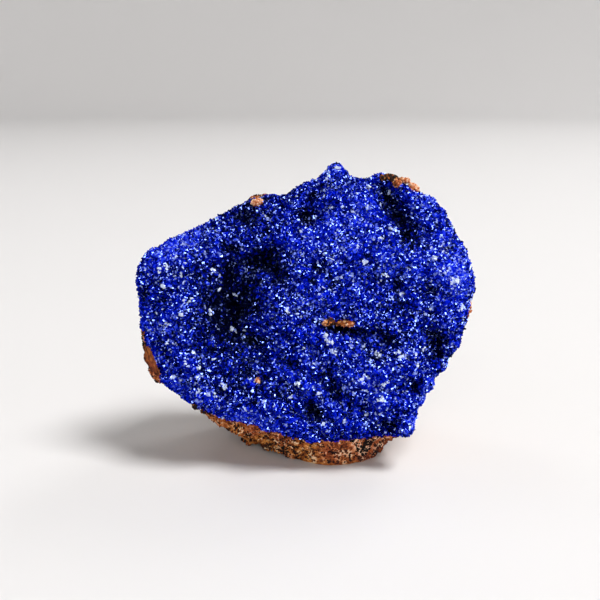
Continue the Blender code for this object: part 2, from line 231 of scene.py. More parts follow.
def grid_triangles(rows, columns):
    """Two triangles for each cell of a grid whose columns run right round and join up."""
    i, j = np.mgrid[0 : rows - 1, 0:columns]
    a, b = i * columns + j, i * columns + (j + 1) % columns
    c, d = a + columns, b + columns
    return np.stack([np.stack([a, c, b], -1), np.stack([b, c, d], -1)], 2).reshape(-1, 3)


def volume(points, triangles):
    """A closed surface's volume: a sixth of the sum of a . (b x c) over its triangles. It is
    positive when they face outwards."""
    a, b, c = points[triangles].transpose(1, 0, 2)
    return (a * np.cross(b, c)).sum() / 6


def closed_grid(points, *values):
    """A grid whose first and last rows are poles, made closed: each pole's row becomes one point.
    Returns triangles that face outwards, and points and values with one entry for each point."""
    rows, columns = points.shape[:2]
    number = np.clip(np.arange(rows * columns) - columns + 1, 0, (rows - 2) * columns + 1)
    kept = np.unique(number, return_index=True)[1]
    triangles = number[grid_triangles(rows, columns)]
    a, b, c = triangles.T
    triangles = triangles[(a != b) & (b != c) & (a != c)]
    points, *values = (x.reshape(-1, *x.shape[2:])[kept] for x in (points, *values))
    if volume(points, triangles) < 0:
        triangles = triangles[:, ::-1]
    return triangles, points, *values


# %% [markdown]
# ## Colours and materials
#
# Colours are written as they look on a screen, in sRGB hex, and one function turns them into the
# linear values that the shader adds and multiplies.


# %% Helpers for colours and nodes
def linear(code):
    """sRGB hex to linear: c / 12.92 below 0.04045, and ((c + 0.055) / 1.055) to the 2.4 above it."""
    parts = [int(code[i : i + 2], 16) / 255 for i in (1, 3, 5)]
    return tuple(c / 12.92 if c < 0.04045 else ((c + 0.055) / 1.055) ** 2.4 for c in parts) + (1.0,)


def add(tree, kind, settings=(), links=()):
    """Adds a node, gives it its settings, and links its inputs: {input: (node, output)}."""
    node = tree.nodes.new("ShaderNode" + kind)
    for key, value in dict(settings).items():
        if isinstance(key, str) and hasattr(node, key):
            setattr(node, key, value)
        else:
            node.inputs[key].default_value = value
    for key, (source, output) in dict(links).items():
        tree.links.new(source.outputs[output], node.inputs[key])
    return node


def ramp(tree, source, output, stops):
    """A colour ramp node from (place, hex colour) stops, fed by source's output."""
    node = add(tree, "ValToRGB", links={"Fac": (source, output)})
    elements = node.color_ramp.elements
    while len(elements) < len(stops):
        elements.new(0.5)
    for element, (place, code) in zip(elements, stops):
        element.position = place
        element.color = linear(code)
    return node


def noise(tree, place, size, detail):
    """A noise node whose patches are about this many millimetres across."""
    return add(tree, "TexNoise", {"Scale": 1 / MM / size, "Detail": detail},
               {"Vector": (place, "Object")})


def tone_with(tree, pattern, contrast):
    """The points' tone plus (the pattern - 1/2) times the contrast."""
    tone = add(tree, "Attribute", {"attribute_name": "tone"})
    lift = add(tree, "Math", {"operation": "MULTIPLY_ADD", 1: contrast, 2: -contrast / 2},
               {0: (pattern, "Fac")})
    return add(tree, "Math", {"operation": "ADD"}, {0: (tone, "Fac"), 1: (lift, "Value")})


def new_material(name, settings):
    """A material with constants for its shader. Returns (material, nodes, shader, place node)."""
    material = bpy.data.materials.new(name)
    material.use_nodes = True
    tree = material.node_tree
    shader = tree.nodes["Principled BSDF"]
    for key, value in settings.items():
        shader.inputs[key].default_value = value
    return material, tree, shader, add(tree, "TexCoord")


# %% [markdown]
# ## Azurite
#
# Azurite has a refractive index of about 1.78, well above glass, so its small flat faces flash
# where they turn a light towards the eye. It swallows red and green, so the flashes are tinted
# blue too. Thin and cracked crystals look pale. Each crystal has one tone, given as an attribute,
# and a ramp turns it into a colour. Crystals deep in the dark hollows get a rougher copy of the
# material with little gloss, which is painted shade.

# %% The azurite material
CLOUD_SIZE, CLOUDINESS = 2.0, 0.16  # patches of a slightly different blue, in millimetres
FACE_SIZE = 0.5  # patches of different roughness, about as large as a crystal
BLUES = ((0.0, "#00000c"), (0.2, "#000336"), (0.5, "#0114b4"), (0.72, "#0622e8"), (0.85, "#3450f0"),
         (0.93, "#8ca2f6"), (1.0, "#dce8fc"))


def azurite_material(name, roughness, gloss):
    """The tone, a little cloudy, gives the colour, and a finer pattern gives the roughness."""
    settings = {"IOR": 1.78, "Specular IOR Level": gloss, "Specular Tint": linear("#7a94ff")}
    material, tree, shader, place = new_material(name, settings)
    cloudy = tone_with(tree, noise(tree, place, CLOUD_SIZE, 3.0), CLOUDINESS)
    colour = ramp(tree, cloudy, "Value", BLUES)
    tree.links.new(colour.outputs["Color"], shader.inputs["Base Color"])
    dull = add(tree, "MapRange", {"To Min": roughness[0], "To Max": roughness[1]},
               {"Value": (noise(tree, place, FACE_SIZE, 1.0), "Fac")})
    tree.links.new(dull.outputs["Result"], shader.inputs["Roughness"])
    return material


azurite = azurite_material("azurite_crystal", (0.02, 0.10), gloss=1.0)
# A rougher copy of azurite with little gloss, for crystals deep in the hollows: painted shade.
azurite_painted_shade = azurite_material("azurite_painted_shade_crystal", (0.10, 0.30), gloss=0.2)

# %% [markdown]
# ## The skin that the crystals grow from
#
# A druse is never smooth: the crystals sit on small rounded clumps, about two millimetres across,
# with creases between them, where the crystals' tone is darkened as painted shade. A smooth
# random pattern folded at zero has such creases. The skin is one closed grid: rings run outwards
# over the front, round the edge in a half circle, and back to the middle behind, where it is thinner.

# %% The skin
THICKNESS = 1.6
EDGE = THICKNESS / 2  # radius of the rounded edge
THINNER, THINNER_BY = 0.15, 0.4  # the share of the radius in which it thins, and by how much
DRAWN_IN = 0.25  # the skin stays this far inside the outline, and the crystals fill the rest
SUNK = 0.38  # and this far behind the bed, for the same reason
CLUMPS, CLUMP_WAVES = 0.55, (2.6, 5.4)
CLUMPS_OUT = 0.6  # how much of a clump's height counts where it stands out sideways
RIPPLES, RIPPLE_LENGTH, RIPPLE_TURN = 0.16, 2.7, math.radians(-48)
RIPPLE_TOP, RIPPLE_FADE, RIPPLE_WANDER = -3.0, 1.5, 0.9

# The shaded hollows of the crust are given as the hollows are, with a strength for the depth. The
# skin lies deeper there, and the tone of the crystals that line them is darkened: painted shade.
SHADED_HOLLOWS = (
    (-6.2, 7.2, 2.8, 1.4, 5, 1.5), (-4.4, 5.3, 1.8, 1.2, -50, 1.4), (-10.8, 8.5, 0.9, 0.6, -20, 1.0),
    (-10.6, 0.3, 2.3, 2.0, 0, 1.6), (-10.5, -3.4, 2.2, 1.8, 0, 1.3), (-7.6, -4.7, 1.7, 0.9, -15, 0.9),
    (-8.2, 3.5, 2.2, 1.6, 90, 0.8), (-10.9, 5.1, 1.6, 0.9, 90, 0.55), (-6.9, 0.0, 1.5, 1.3, 0, 0.4),
    (-8.6, 12.8, 2.6, 1.5, 10, 0.7), (-5.4, 10.8, 0.6, 0.5, 0, 0.8), (-0.1, 12.9, 1.6, 0.9, 90, 1.2),
    (0.7, 15.6, 1.3, 0.7, 80, 0.5), (12.0, 16.0, 1.9, 1.0, -60, 1.2), (12.6, 13.8, 1.8, 1.1, -50, 1.3),
    (14.3, 11.1, 2.6, 1.3, -80, 1.2), (1.4, 5.8, 0.8, 0.6, 0, 0.9), (1.0, 3.7, 0.6, 0.5, 0, 0.7),
    (3.5, 3.8, 1.2, 0.9, -60, 0.45), (13.2, 3.7, 1.2, 0.7, 90, 0.9), (10.5, 3.8, 1.0, 0.7, 0, 0.4),
    (17.6, 2.5, 1.3, 0.9, 0, 0.35), (5.9, -3.1, 2.8, 0.6, -7, 1.6), (11.6, -4.0, 1.6, 0.7, -35, 1.0),
    (18.7, -4.5, 2.4, 1.3, 100, 0.8), (15.9, -11.2, 1.5, 1.0, 70, 0.7), (4.5, -11.9, 1.6, 1.1, -20, 0.9),
    (6.2, -14.4, 1.2, 0.6, 70, 0.6), (0.9, -14.7, 1.9, 1.2, -50, 0.8), (11.9, -16.6, 1.6, 0.8, 0, 0.8),
    (4.3, -3.0, 1.5, 0.5, 0, 1.8), (3.5, -2.9, 0.8, 0.35, 0, 1.4), (2.8, -9.3, 1.0, 0.9, 0, 0.5),
    (-1.3, -0.6, 0.7, 0.5, 0, 0.7), (-15.7, 4.7, 1.8, 1.2, 80, 0.35), (-8.6, -8.8, 5.5, 3.5, 0, 0.3),
    (-12.6, 1.2, 5.0, 2.8, 85, 0.6), (13.2, 0.4, 1.4, 1.0, 0, 0.5), (-2.0, -7.8, 1.2, 0.9, 0, 0.5),
    (19.0, -6.4, 1.6, 2.2, 0, 0.7), (10.6, -6.6, 1.6, 1.8, 0, 0.4), (-2.0, 15.8, 2.2, 1.0, 0, 0.35),
    (-20.7, -5.2, 1.3, 0.7, -60, 0.5), (-7.9, -13.7, 1.0, 0.6, 0, 0.5), (-3.7, -12.3, 1.4, 0.8, -40, 0.4),
    (8.4, -14.4, 0.9, 0.7, 0, 0.4), (-23.2, 2.2, 1.4, 0.5, 90, 0.6), (20.5, 8.6, 0.9, 0.6, 0, 0.4),
)
# The light places are painted light: more crystals are pale there and their tone is lighter. They are
# given in the same way.
PAINTED_LIGHT_PLACES = (
    (-18.6, 8.8, 4.4, 1.6, 28, 1.3), (21.6, 2.6, 7.5, 2.2, 85, 0.9), (4.8, 9.9, 6.5, 2.4, -5, 0.6),
    (15.0, 6.4, 7.0, 2.2, 0, 0.6), (2.4, -3.8, 1.8, 1.2, 90, 0.6), (4.2, 19.3, 1.8, 1.2, 0, 0.8),
    (14.0, -5.9, 2.2, 1.2, 0, 0.4), (-16.2, -11.6, 3.4, 1.4, -45, 0.8), (-8.6, -15.6, 4.2, 1.3, -22, 1.0),
    (8.4, -8.8, 2.2, 1.8, 0, 0.35), (-0.8, 9.0, 4.0, 1.6, 90, 0.5), (-21.4, -2.8, 2.4, 1.5, 0, 0.5),
    (7.6, 13.4, 3.2, 1.8, 60, 0.6), (17.2, 14.0, 3.4, 1.4, -60, 0.8), (18.0, -11.0, 4.0, 1.3, 65, 0.9),
    (15.4, -16.6, 2.6, 1.0, 60, 1.2), (9.6, -1.6, 2.6, 1.4, 0, 0.7), (20.4, 4.6, 1.8, 1.2, 0, 0.7),
    (10.6, -11.6, 3.0, 1.2, 0, 0.6), (1.2, 0.6, 1.6, 1.4, 0, 0.5),
)
DARK_DEPTH = 1.1  # how much deeper the skin lies where the strength is 1


def deep_bed(u, v):
    """The bed with its shaded hollows sunk further: their strength times DARK_DEPTH is added."""
    return bed(u, v) + DARK_DEPTH * dents(u, v, SHADED_HOLLOWS)


def clumps(u, v):
    """How far the clumps stand out: a folded random pattern, plus a sine across the face at a slant.
    It wanders a little, and fades out above RIPPLE_TOP."""
    points = np.stack([u, v, np.zeros_like(u)], -1)
    folded = np.abs(lumpiness(points, 31, CLUMP_WAVES))
    across = v * math.cos(RIPPLE_TURN) - u * math.sin(RIPPLE_TURN)
    wander = RIPPLE_WANDER * lumpiness(points, 32, (5.0, 11.0))
    low = 1 / (1 + np.exp((v - RIPPLE_TOP) / RIPPLE_FADE))
    rows = np.sin(2 * math.pi * (across + wander) / RIPPLE_LENGTH) * low
    return CLUMPS * folded + RIPPLES * rows


def skin(front_rows, edge_rows, back_rows, columns):
    """Points (rows, columns, 3) and texture places. The radius grows to the edge, the edge is a
    half circle of radius EDGE, and the back runs in again behind the front."""
    angle = np.arange(columns) * 2 * math.pi / columns
    turn = np.concatenate([np.zeros(front_rows), np.linspace(0, math.pi, edge_rows),
                           np.full(back_rows, math.pi)])
    share = np.concatenate([np.linspace(0, 1, front_rows, endpoint=False), np.ones(edge_rows),
                            np.linspace(1, 0, back_rows + 1)[1:]])
    turn, share, angle = turn[:, None], share[:, None], angle[None, :]
    inner = (outline(angle) - DRAWN_IN - EDGE) * share
    radius = inner + EDGE * np.sin(turn)
    u, v = polar(radius, angle)
    stand = clumps(u, v) * np.clip(math.pi - turn, 0, 1)
    radius = radius + CLUMPS_OUT * stand * np.sin(turn)
    u, v = polar(radius, angle)
    thinned = 1 - THINNER_BY * np.clip((1 - share) / THINNER, 0, 1)
    w = deep_bed(u, v) + SUNK + EDGE * (1 - np.cos(turn)) * thinned - stand * np.cos(turn / 2)
    return to_world(u, v, w), face_uv(np.stack([u, v], -1))


HALF_SQUARE = 30  # millimetres: no piece reaches further from the face's centre


def face_uv(uv):
    """(u, v) in millimetres brought into the unit square, for the texture that is baked."""
    return (uv + HALF_SQUARE) / (2 * HALF_SQUARE)


def point_uv(points):
    """The same for points in the world."""
    return face_uv(np.stack(to_face(points)[:2], 1))


FRONT_ROWS, EDGE_ROWS, BACK_ROWS, COLUMNS = 72, 8, 30, 340
triangles, points, uv = closed_grid(*skin(FRONT_ROWS, EDGE_ROWS, BACK_ROWS, COLUMNS))
# The skin's dark tone makes the gaps between the crystals look dark: painted shade.
skin_painted_shade = np.full(len(points), 0.25)
azurite_skin = mesh_object("azurite_skin", points, triangles, azurite, uv=uv, tone=skin_painted_shade)
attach(azurite_skin, "root")
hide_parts("azurite_crust")
print("skin:", len(triangles), "triangles, volume", round(volume(points, triangles)), "cubic mm")

# %% [markdown]
# ## Where the crystals stand
#
# They are spread evenly over the skin, steep places too: a crystal is set down each time the
# running total of the triangles' areas passes another step.


# %% Spreading points over a surface
def spread(points, triangles, spacing, rng):
    """Places and normals on the triangles, one for each spacing squared of area. A place is a
    random mix of a triangle's corners, folded so that it stays inside."""
    a, b, c = points[triangles].transpose(1, 0, 2)
    normal = np.cross(b - a, c - a)
    total = np.cumsum(np.linalg.norm(normal, axis=1) / 2)
    count = int(total[-1] / spacing**2)
    marks = (np.arange(count) + rng.uniform(0, 1, count)) * total[-1] / count
    at = np.searchsorted(total, marks)
    mix = rng.uniform(size=(count, 2))
    mix = np.where(mix.sum(1, keepdims=True) > 1, 1 - mix, mix)
    place = a[at] + mix[:, :1] * (b - a)[at] + mix[:, 1:] * (c - a)[at]
    return place, unit(normal[at])


# Where bare rock shows through the crust or over its edge it stands out as a lump: (u, v, half
# length, half width, turn in degrees, how far it stands out, tone). The first ones are the ledge.
LEDGE_LUMPS = 4
BARE_LUMPS = (
    (3.35, -1.9, 0.72, 0.5, 10, 0.7, 0.34), (2.75, -2.1, 0.35, 0.3, 0, 0.65, 0.8),
    (5.8, -2.05, 1.1, 0.48, -5, 0.8, 0.68), (4.5, -2.15, 0.55, 0.34, 0, 0.55, 0.4),
    (11.9, 18.8, 1.4, 0.5, -4, 0.8, 0.2), (13.2, 18.1, 0.55, 0.7, 0, 0.9, 0.65),
    (14.3, 18.5, 0.65, 0.32, -20, 0.6, 0.85), (15.6, 17.4, 0.75, 0.7, -40, 0.9, 0.95),
    (-6.9, 15.3, 0.7, 0.5, 10, 0.8, 0.9), (-15.9, -14.1, 0.6, 0.4, -40, 0.6, 0.05),
    (-14.8, -14.9, 0.5, 0.35, -40, 0.6, 0.1), (-6.9, -10.3, 0.35, 0.3, 0, 0.5, 0.9),
)


def lump_distance(u, v, places):
    """How far out a place lies on the nearest of these ovals: below 1 is inside one."""
    return np.min([np.hypot(*oval_place(u, v, *place[:5])) for place in places], axis=0)


# Crystals stand on the front and the edge. The band behind the edge is left for the rock's grains.
BAND_ROWS, BAND_THICKNESS = 8, 0.9
crusted_rows = FRONT_ROWS + EDGE_ROWS - 1
crusted = triangles[: (2 * (crusted_rows - 1) - 1) * COLUMNS]
crust_points, crust_back = points, triangles[len(crusted) : len(crusted) + 2 * BAND_ROWS * COLUMNS]
u, v, w = to_face(points[crust_back])
crust_back = crust_back[(w > deep_bed(u, v) + SUNK + BAND_THICKNESS).all(1)]
print("triangles with crystals:", len(crusted), "and in the band behind:", len(crust_back))

# %% [markdown]
# ## One crystal
#
# An azurite crystal is a small blade with a chisel end, like a steep roof with two gables. Seven
# points make it: the root, which is sunk in the skin, four eaves, and the ridge's two ends. That
# is 10 flat triangles, so tens of thousands of them stay light.

# %% Many crystals as one mesh
ROOT_DEPTH = 0.6  # how far a crystal's root is sunk, as a share of its height
CORNERS = np.array(((1, 1), (-1, 1), (-1, -1), (1, -1)))
NEXT = np.array((1, 2, 3, 0))
THIS = np.arange(4)
BLADE = np.concatenate([
    np.stack([0 * THIS, NEXT + 1, THIS + 1], 1),
    ((1, 2, 6), (1, 6, 5), (3, 4, 5), (3, 5, 6), (4, 1, 5), (2, 3, 6)),
])


def crystal_frames(normal, lean, rng):
    """Three axes for each crystal: its own is the skin's normal plus a random lean, and the others
    lie across it at a random turn."""
    axis = unit(normal + lean * rng.normal(size=normal.shape))
    side = unit(np.cross(axis, rng.normal(size=normal.shape)))
    return np.stack([side, np.cross(axis, side), axis], 1)


def crystals(place, normal, length, breadth, height, lean, rng, sharp=0.0):
    """Points (crystals, 7, 3). The eaves are the corners times half the length and breadth, at a
    share of the height that is less in a sharper crystal. The ridge's ends lie between the gables.
    All are turned to the crystal's own axes."""
    count = len(place)
    eaves = rng.uniform(0.25, 0.88, count) * (1 - sharp)
    ridge = rng.uniform(0.2, 0.95, count)
    aside = rng.uniform(-0.7, 0.7, (count, 2)) * np.stack([1 - ridge, np.ones(count)], 1)
    root = np.zeros((count, 1, 2))
    ends = aside[:, None] + ridge[:, None, None] * ((1, 0), (-1, 0))
    flat = np.concatenate([root, CORNERS + root, ends], 1) * np.stack([length, breadth], 1)[:, None]
    lower_end = rng.uniform(0.7, 1.0, count)
    level = np.stack([np.full(count, -ROOT_DEPTH), *[eaves] * 4, np.ones(count), lower_end], 1)
    local = np.concatenate([flat, (level * height[:, None])[..., None]], -1)
    return place[:, None] + local @ crystal_frames(normal, lean, rng)


def crystal_piece(name, corners, tone, material=azurite):
    """One object from these crystals, with flat faces and a tone for each."""
    count = len(corners)
    triangles = (BLADE + 7 * np.arange(count)[:, None, None]).reshape(-1, 3)
    points = corners.reshape(-1, 3)
    piece = mesh_object(name, points, triangles, material, False, point_uv(points), np.repeat(tone, 7))
    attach(piece, "root")
    print(name, count, "crystals", len(triangles), "triangles")


# %% [markdown]
# ## The druse
#
# Most crystals are 0.2 to 0.5 mm long. Their sizes have a log-normal spread, as grain sizes in
# nature do: many small ones and a few large. In the dark hollows they are sharper and more
# upright, so that they catch little light, and their tone is darkened as painted shade.

# %% The small crystals
CRYSTAL_SPACING = 0.2
# Each size is a middle one, its spread, the least and the greatest, in millimetres.
HALF_LENGTH = (0.18, 0.35, 0.09, 0.42)
HALF_BREADTH = (0.115, 0.3, 0.05, 0.24)
HEIGHT = (0.32, 0.28, 0.14, 0.65)
TONE, TONE_SPREAD, TONE_DRIFT = 0.355, 0.22, 0.04
# Painted shade in the creases between the clumps, and painted light on their tops.
PAINTED_CLUMP_SHADE = 0.16  # how much darker the creases between the clumps are
# Painted shade and painted light: the tone drops in the shaded hollows and rises in the light places.
PAINTED_SHADE_DROP, PAINTED_LIGHT_GAIN = 0.5, 0.16  # what the dark places take from the tone and the light ones add
# Painted light: the light places also make more crystals pale.
PALE_SHARE, PALE_GAIN = 0.1, 0.22  # the share of pale crystals, and what light places add to it
LEAN_SPREAD = 0.6


def sizes(count, rng, middle, spread, least, most):
    """A log-normal spread: the middle size times e to a normal number, kept between two limits."""
    return np.clip(middle * np.exp(spread * rng.normal(size=count)), least, most)


rng = np.random.default_rng(41)
place, normal = spread(points, crusted, CRYSTAL_SPACING, rng)
u, v, w = to_face(place)
bare = (lump_distance(u, v, BARE_LUMPS) < 1.0) & (w < deep_bed(u, v) + SUNK + EDGE)
place, normal, u, v, w = (x[~bare] for x in (place, normal, u, v, w))
count = len(place)
length, breadth, height = (sizes(count, rng, *size) for size in (HALF_LENGTH, HALF_BREADTH, HEIGHT))
crease = np.clip(clumps(u, v) / CLUMPS, 0, 1.2) - 0.6
tone = TONE + TONE_SPREAD * rng.normal(size=count) + TONE_DRIFT * lumpiness(place, 33, (3.0, 9.0))
# Painted shade and light: the tone is lower in the creases and higher on the clumps' tops.
tone += PAINTED_CLUMP_SHADE * crease
# Painted shade: the shaded hollows darken the tone, make fewer crystals pale, and pick crystals for the
# dull copy.
hollow_shade = 1 - np.exp(-1.8 * dents(u, v, SHADED_HOLLOWS))
# Painted light: the light places lift the tone and raise the share of pale crystals.
painted_light = dents(u, v, PAINTED_LIGHT_PLACES)
tone = np.clip(tone + PAINTED_LIGHT_GAIN * painted_light - PAINTED_SHADE_DROP * hollow_shade, 0.02, 0.8)
pale = rng.uniform(size=count) < (PALE_SHARE + PALE_GAIN * painted_light) * (1 - hollow_shade)
tone[pale] = rng.uniform(0.78, 0.97, pale.sum())
lean = LEAN_SPREAD * (1 - 0.6 * hollow_shade[:, None])
corners = crystals(place, normal, length, breadth, height, lean, rng, 0.9 * hollow_shade)
# Many crystals in the shaded hollows go to a piece with the dull copy of azurite: painted shade.
sunk = hollow_shade > rng.uniform(0.25, 0.8, count)
crystal_piece("azurite_crystals_painted_shade", corners[sunk], tone[sunk], azurite_painted_shade)
order = np.argsort(u)
order = order[~sunk[order]]
PARTS = ("left", "middle_left", "middle_right", "right")
for part, chosen in zip(PARTS, np.array_split(order, len(PARTS))):
    crystal_piece("azurite_crystals_" + part, corners[chosen], tone[chosen])

# %% [markdown]
# ## The pale crystals
#
# Here and there the azurite is thin over cracks, and whitish crystals sit in loose groups.

# %% The pale crystals
# Each group is (u, v, radius, tone), in millimetres. They take the foremost places in it.
PALE_PER_MM = 13  # crystals in a group for each millimetre of its radius
PALE_HALF_LENGTH = (0.19, 0.3, 0.12, 0.36)
PALE_GROUPS = (
    (-19.5, 6.1, 0.45, 1.05), (-20.7, 5.2, 0.5, 1.05), (-22.7, 5.0, 0.4, 0.95), (-17.4, 6.1, 0.6, 0.92),
    (-17.8, 4.8, 0.35, 1.05), (-20.3, 3.0, 0.4, 1.15), (-16.7, 1.1, 0.55, 1.15), (-13.2, 5.1, 0.45, 0.95),
    (-10.3, 1.8, 0.35, 1.0), (-12.5, 2.5, 0.3, 1.0), (-5.5, 12.9, 0.35, 0.95), (4.6, 20.4, 0.6, 1.15),
    (2.9, 19.0, 0.55, 1.02), (2.9, 17.1, 0.55, 0.95), (8.8, 17.3, 0.4, 1.1), (6.9, 16.3, 0.5, 0.92),
    (12.2, 16.8, 0.35, 1.1), (10.6, 14.9, 0.35, 1.0), (8.6, 14.5, 0.45, 0.93), (3.5, 14.0, 0.3, 1.0),
    (6.7, 13.6, 0.3, 1.05), (12.3, 11.2, 0.4, 0.93), (10.6, 9.9, 0.4, 0.97), (18.0, 7.2, 0.4, 1.15),
    (8.1, 6.4, 0.4, 1.15), (11.2, 4.5, 0.45, 1.1), (10.7, 3.7, 0.5, 1.05), (4.4, 4.2, 0.4, 0.92),
    (19.3, 4.8, 0.5, 1.0), (20.7, 4.1, 0.6, 1.1), (21.0, 3.5, 0.5, 1.15), (13.6, 2.0, 0.35, 0.93),
    (22.6, 0.0, 0.6, 1.1), (16.8, -0.7, 0.35, 0.93), (17.7, -0.1, 0.35, 0.93), (-13.7, -0.7, 0.4, 0.97),
    (-19.8, -2.3, 0.4, 1.0), (-17.6, -1.0, 0.3, 1.05), (-19.9, -5.0, 0.3, 1.0), (-18.7, -5.1, 0.3, 1.0),
    (-16.0, -6.2, 0.35, 1.1), (-13.2, -7.2, 0.35, 1.05), (-16.7, -7.9, 0.35, 1.0),
    (-15.3, -8.4, 0.4, 1.0), (-19.1, -9.9, 0.4, 0.97), (-15.2, -9.9, 0.4, 1.0), (-15.4, -11.8, 0.4, 1.0),
    (-11.8, -11.3, 0.6, 1.1), (-12.6, -12.5, 0.45, 1.15), (-14.0, -12.0, 0.35, 0.97),
    (-10.5, -3.1, 0.5, 0.93), (-9.1, -4.2, 0.4, 0.93), (-6.9, -10.3, 0.5, 0.9), (-1.4, -10.9, 0.5, 1.15),
    (-2.1, -12.6, 0.3, 1.05), (-2.6, -0.4, 0.35, 0.97), (-8.8, -14.3, 0.35, 0.97), (2.7, -4.4, 0.6, 1.15),
    (3.1, -5.0, 0.4, 1.15), (4.4, -6.4, 0.5, 1.15), (6.5, -5.1, 0.5, 0.95), (8.2, -5.4, 0.35, 0.97),
    (10.2, -6.5, 0.45, 1.1), (13.0, -5.9, 0.65, 1.2), (13.7, -6.7, 0.5, 1.15), (15.6, -6.7, 0.4, 1.15),
    (16.7, -5.9, 0.4, 1.05), (15.7, -8.2, 0.4, 1.1), (8.4, -9.6, 0.45, 1.15), (7.8, -10.5, 0.3, 1.05),
    (11.2, -10.5, 0.35, 1.1), (8.2, -11.8, 0.5, 1.0), (10.8, -12.5, 0.6, 1.2), (5.5, -11.3, 0.4, 0.93),
    (13.6, -9.8, 0.4, 0.95), (1.7, -12.2, 0.3, 1.1), (2.7, -16.4, 0.4, 0.93), (5.5, -16.4, 0.45, 0.95),
    (8.8, -15.3, 0.35, 0.97), (1.3, -7.9, 0.4, 0.93), (14.9, -17.0, 0.4, 1.05),
)
rng = np.random.default_rng(42)
near, shades = [], []
for at_u, at_v, radius, shade in PALE_GROUPS:
    inside = np.flatnonzero(np.hypot(u - at_u, v - at_v) < radius)
    near.append(inside[np.argsort(w[inside])][: int(PALE_PER_MM * radius)])
    shades.append(np.full(len(near[-1]), shade))
near, shades = np.concatenate(near), np.concatenate(shades)
count = len(near)
length = sizes(count, rng, *PALE_HALF_LENGTH)
corners = crystals(place[near], normal[near], length, length * rng.uniform(0.5, 0.9, count),
                   rng.uniform(0.4, 0.65, count), LEAN_SPREAD, rng)
crystal_piece("azurite_crystals_pale", corners, shades + rng.normal(0.02, 0.05, count))

# %% [markdown]
# ## Limonite
#
# Limonite is a mix of iron hydroxides, the stuff of rust and ochre. It is dull and earthy, orange
# to dark brown, with tan specks and small black nodules of manganese oxide.

# %% The limonite material
SPECK_SIZE, SPECK_CONTRAST = 0.5, 0.7
STAIN_SIZE, STAIN_RANGE = 6.0, (0.4, 0.62)
OCHRE = ((0.0, "#0c0502"), (0.3, "#3a1606"), (0.55, "#a85a1c"), (0.8, "#d8944a"), (1.0, "#f2d2a4"))
RUST = ((0.0, "#0a0504"), (0.3, "#300f08"), (0.55, "#9a441c"), (0.8, "#cc7848"), (1.0, "#eebe9c"))


def limonite_material():
    """The tone, with specks, gives two colours, ochre and rust, and large stains choose between
    them. The specks also stand up a little."""
    settings = {"Roughness": 0.75, "Specular IOR Level": 0.15}
    material, tree, shader, place = new_material("limonite_rock", settings)
    speck = noise(tree, place, SPECK_SIZE, 2.0)
    shade = tone_with(tree, speck, SPECK_CONTRAST)
    ochre, rust = ramp(tree, shade, "Value", OCHRE), ramp(tree, shade, "Value", RUST)
    redder = add(tree, "MapRange", {"From Min": STAIN_RANGE[0], "From Max": STAIN_RANGE[1]},
                 {"Value": (noise(tree, place, STAIN_SIZE, 3.0), "Fac")})
    colour = add(tree, "Mix", {"data_type": "RGBA"},
                 {0: (redder, "Result"), 6: (ochre, "Color"), 7: (rust, "Color")})
    tree.links.new(colour.outputs[2], shader.inputs["Base Color"])
    bump = add(tree, "Bump", {"Strength": 0.6, "Distance": 0.12 * MM}, {"Height": (speck, "Fac")})
    tree.links.new(bump.outputs["Normal"], shader.inputs["Normal"])
    return material


limonite = limonite_material()

# %% [markdown]
# ## The rock's shape
#
# The rock is a dome behind the face, cut by broken facets, by the solids' formulas on a finer
# grid. Its front is hidden behind the crust, and is kept inside the facets so as to show nowhere.

# %% The dome, its facets and its scallops
GAP = 0.3
LIP_DEPTH, ROCK_DEPTH, ROCK_SHOULDER = 0.19, 26.0, 4.2
ROCK_CORE = np.array((0.0, 0.5, 19.0))
FOOT = ((0.0, 0.0, -1.0), 0.0)
FACETS = (
    ((0.1, 0.97, 0.2), 11.6), ((-0.42, 0.9, -0.05), 13.2), ((0.5, 0.84, -0.18), 13.4),
    ((-0.1, 0.78, 0.62), 28.5), ((0.34, 0.62, 0.7), 39.5), ((-0.72, 0.6, 0.34), 24.5),
    ((0.8, 0.55, 0.22), 25.0), ((-0.56, 0.32, -0.76), 7.4), ((0.62, 0.22, -0.75), 8.4),
    ((0.05, 0.8, -0.6), 8.8),
)
FACET_SHARPNESS = 45
SCALLOPS, SCALLOP_WAVES, SCALLOP_STEPS = 1.7, (8.0, 18.0), 0.45
LUMPS, LUMP_WAVES = 0.5, (3.4, 7.0)
PITS, PIT_RADIUS, PIT_DEPTH = 40, (0.9, 2.0), 0.7
FOOT_MARGIN = 1.4


def dome(share):
    """Depth of the dome behind the face: (1 - share to a power) to the power 0.45."""
    return (1 - share**ROCK_SHOULDER) ** 0.45


def dome_points(angle, share, depth):
    """Points of the plain dome. As the depth grows, its edge passes from the crust's outline to
    the rock's and then to a plainer one."""
    toward_rock = np.sin(np.clip(depth / LIP_DEPTH, 0, 1) * math.pi / 2)
    toward_back = np.clip((depth - LIP_DEPTH) / (1 - LIP_DEPTH), 0, 1) ** 0.6
    crust_edge = outline(angle) - DRAWN_IN
    edge = crust_edge + (outline(angle, ROCK_OUTLINE) - crust_edge) * toward_rock
    edge = edge + (outline(angle, BACK_OUTLINE) - edge) * toward_back
    radius = share * edge
    edge_depth = bed(*polar(crust_edge, angle))
    start = edge_depth + (ROLL_BACK - edge_depth) * toward_rock + THICKNESS / 2 + GAP
    return to_world(*polar(radius, angle), start + depth * ROCK_DEPTH)


def room_to(facets, ray):
    """Distance from the core to each plane along the rays. It is very long for a plane behind."""
    normals = unit(np.array([direction for direction, _ in facets]))
    room = np.array([distance for _, distance in facets]) - normals @ ROCK_CORE
    return room / np.maximum(ray @ normals.T, 1e-3)


